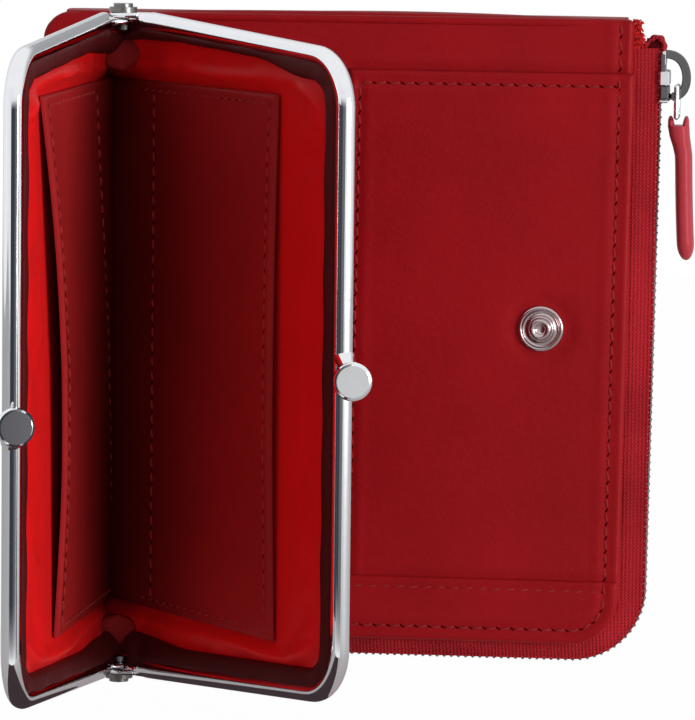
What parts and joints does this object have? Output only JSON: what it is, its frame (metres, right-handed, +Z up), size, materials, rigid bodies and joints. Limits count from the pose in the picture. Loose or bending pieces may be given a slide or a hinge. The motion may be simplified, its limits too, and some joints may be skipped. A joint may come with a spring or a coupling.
{
  "type": "coin purse",
  "caption": "Leather zip wallet section with a card pocket and snap, and a kiss-lock framed coin pouch hinged along its spine, shown open.",
  "frame": {"origin": "centre of the wallet section's flat back face, the face opposite the pouch", "axes": "+Z up along the spine and the pouch's hinge line, +X from the spine to the zip side, +Y out of the back face; the pouch and its frame stand open towards -Y"},
  "size_m": [0.1131, 0.1158, 0.1148],
  "materials": {
    "leather": "smooth red calf leather, fine grain, satin",
    "lining": "bright red satin lining",
    "board": "plain fibre board, hidden",
    "zip_tape": "red woven tape",
    "zip_metal": "bright silver",
    "nickel": "nickel plated",
    "frame_chrome": "polished chrome",
    "rivet": "dark steel",
    "cord": "twisted paper cord, hidden"
  },
  "bodies": {
    "wallet": {"back_cover": "leather", "back_board": "board", "back_lining": "lining", "front_panel": "leather", "front_board": "board", "front_lining": "lining", "card_pocket": "leather", "lower_band": "leather", "edge_binding": "leather", "spine_strip": "leather", "top_strip": "leather", "fold_strip": "leather", "snap_stud": "nickel", "snap_post": "nickel", "zip_tape_back": "zip_tape", "zip_tape_front": "zip_tape", "zip_coil_back": "zip_metal", "zip_coil_front": "zip_metal", "zip_stops": "zip_metal"},
    "slider": {"zip_slider": "zip_metal"},
    "link": {"zip_link": "zip_metal"},
    "pull": {"zip_pull": "leather"},
    "pouch": {"rear_wall": "leather", "rear_lining": "lining", "rear_slip_pocket": "leather", "snap_socket": "nickel", "lower_front_wall": "leather", "lower_front_lining": "lining", "bag_bottom": "leather", "gusset_top": "lining", "gusset_bottom": "lining", "rear_frame": "frame_chrome", "rear_cord": "cord", "rear_lock": "frame_chrome", "hinge_rivets": "rivet"},
    "front_jaw": {"front_wall": "leather", "front_wall_lining": "lining", "front_slip_pocket": "leather", "front_frame": "frame_chrome", "front_cord": "cord", "front_lock": "frame_chrome"}
  },
  "joints": [
    {"name": "pouch_fold", "type": "hinge", "parent": "wallet", "child": "pouch", "pos_m": [-0.0505, -0.0142, 0], "axis": [0, 0, 1], "range_deg": [-120, 51.4]},
    {"name": "frame_hinge", "type": "hinge", "parent": "pouch", "child": "front_jaw", "pos_m": [-0.03106, -0.04673, 0], "axis": [0, 0, 1], "range_deg": [-25, 47]},
    {"name": "slider_travel", "type": "slide", "parent": "wallet", "child": "slider", "axis": [0, 0, -1], "range_m": [0, 0.082]},
    {"name": "link_swing", "type": "hinge", "parent": "slider", "child": "link", "pos_m": [0.0582, -0.0052, 0.042], "axis": [0, -1, 0], "range_deg": [0, 120]},
    {"name": "pull_swing", "type": "hinge", "parent": "link", "child": "pull", "pos_m": [0.0582, -0.0052, 0.0369], "axis": [0, -1, 0], "range_deg": [0, 45]}
  ]
}
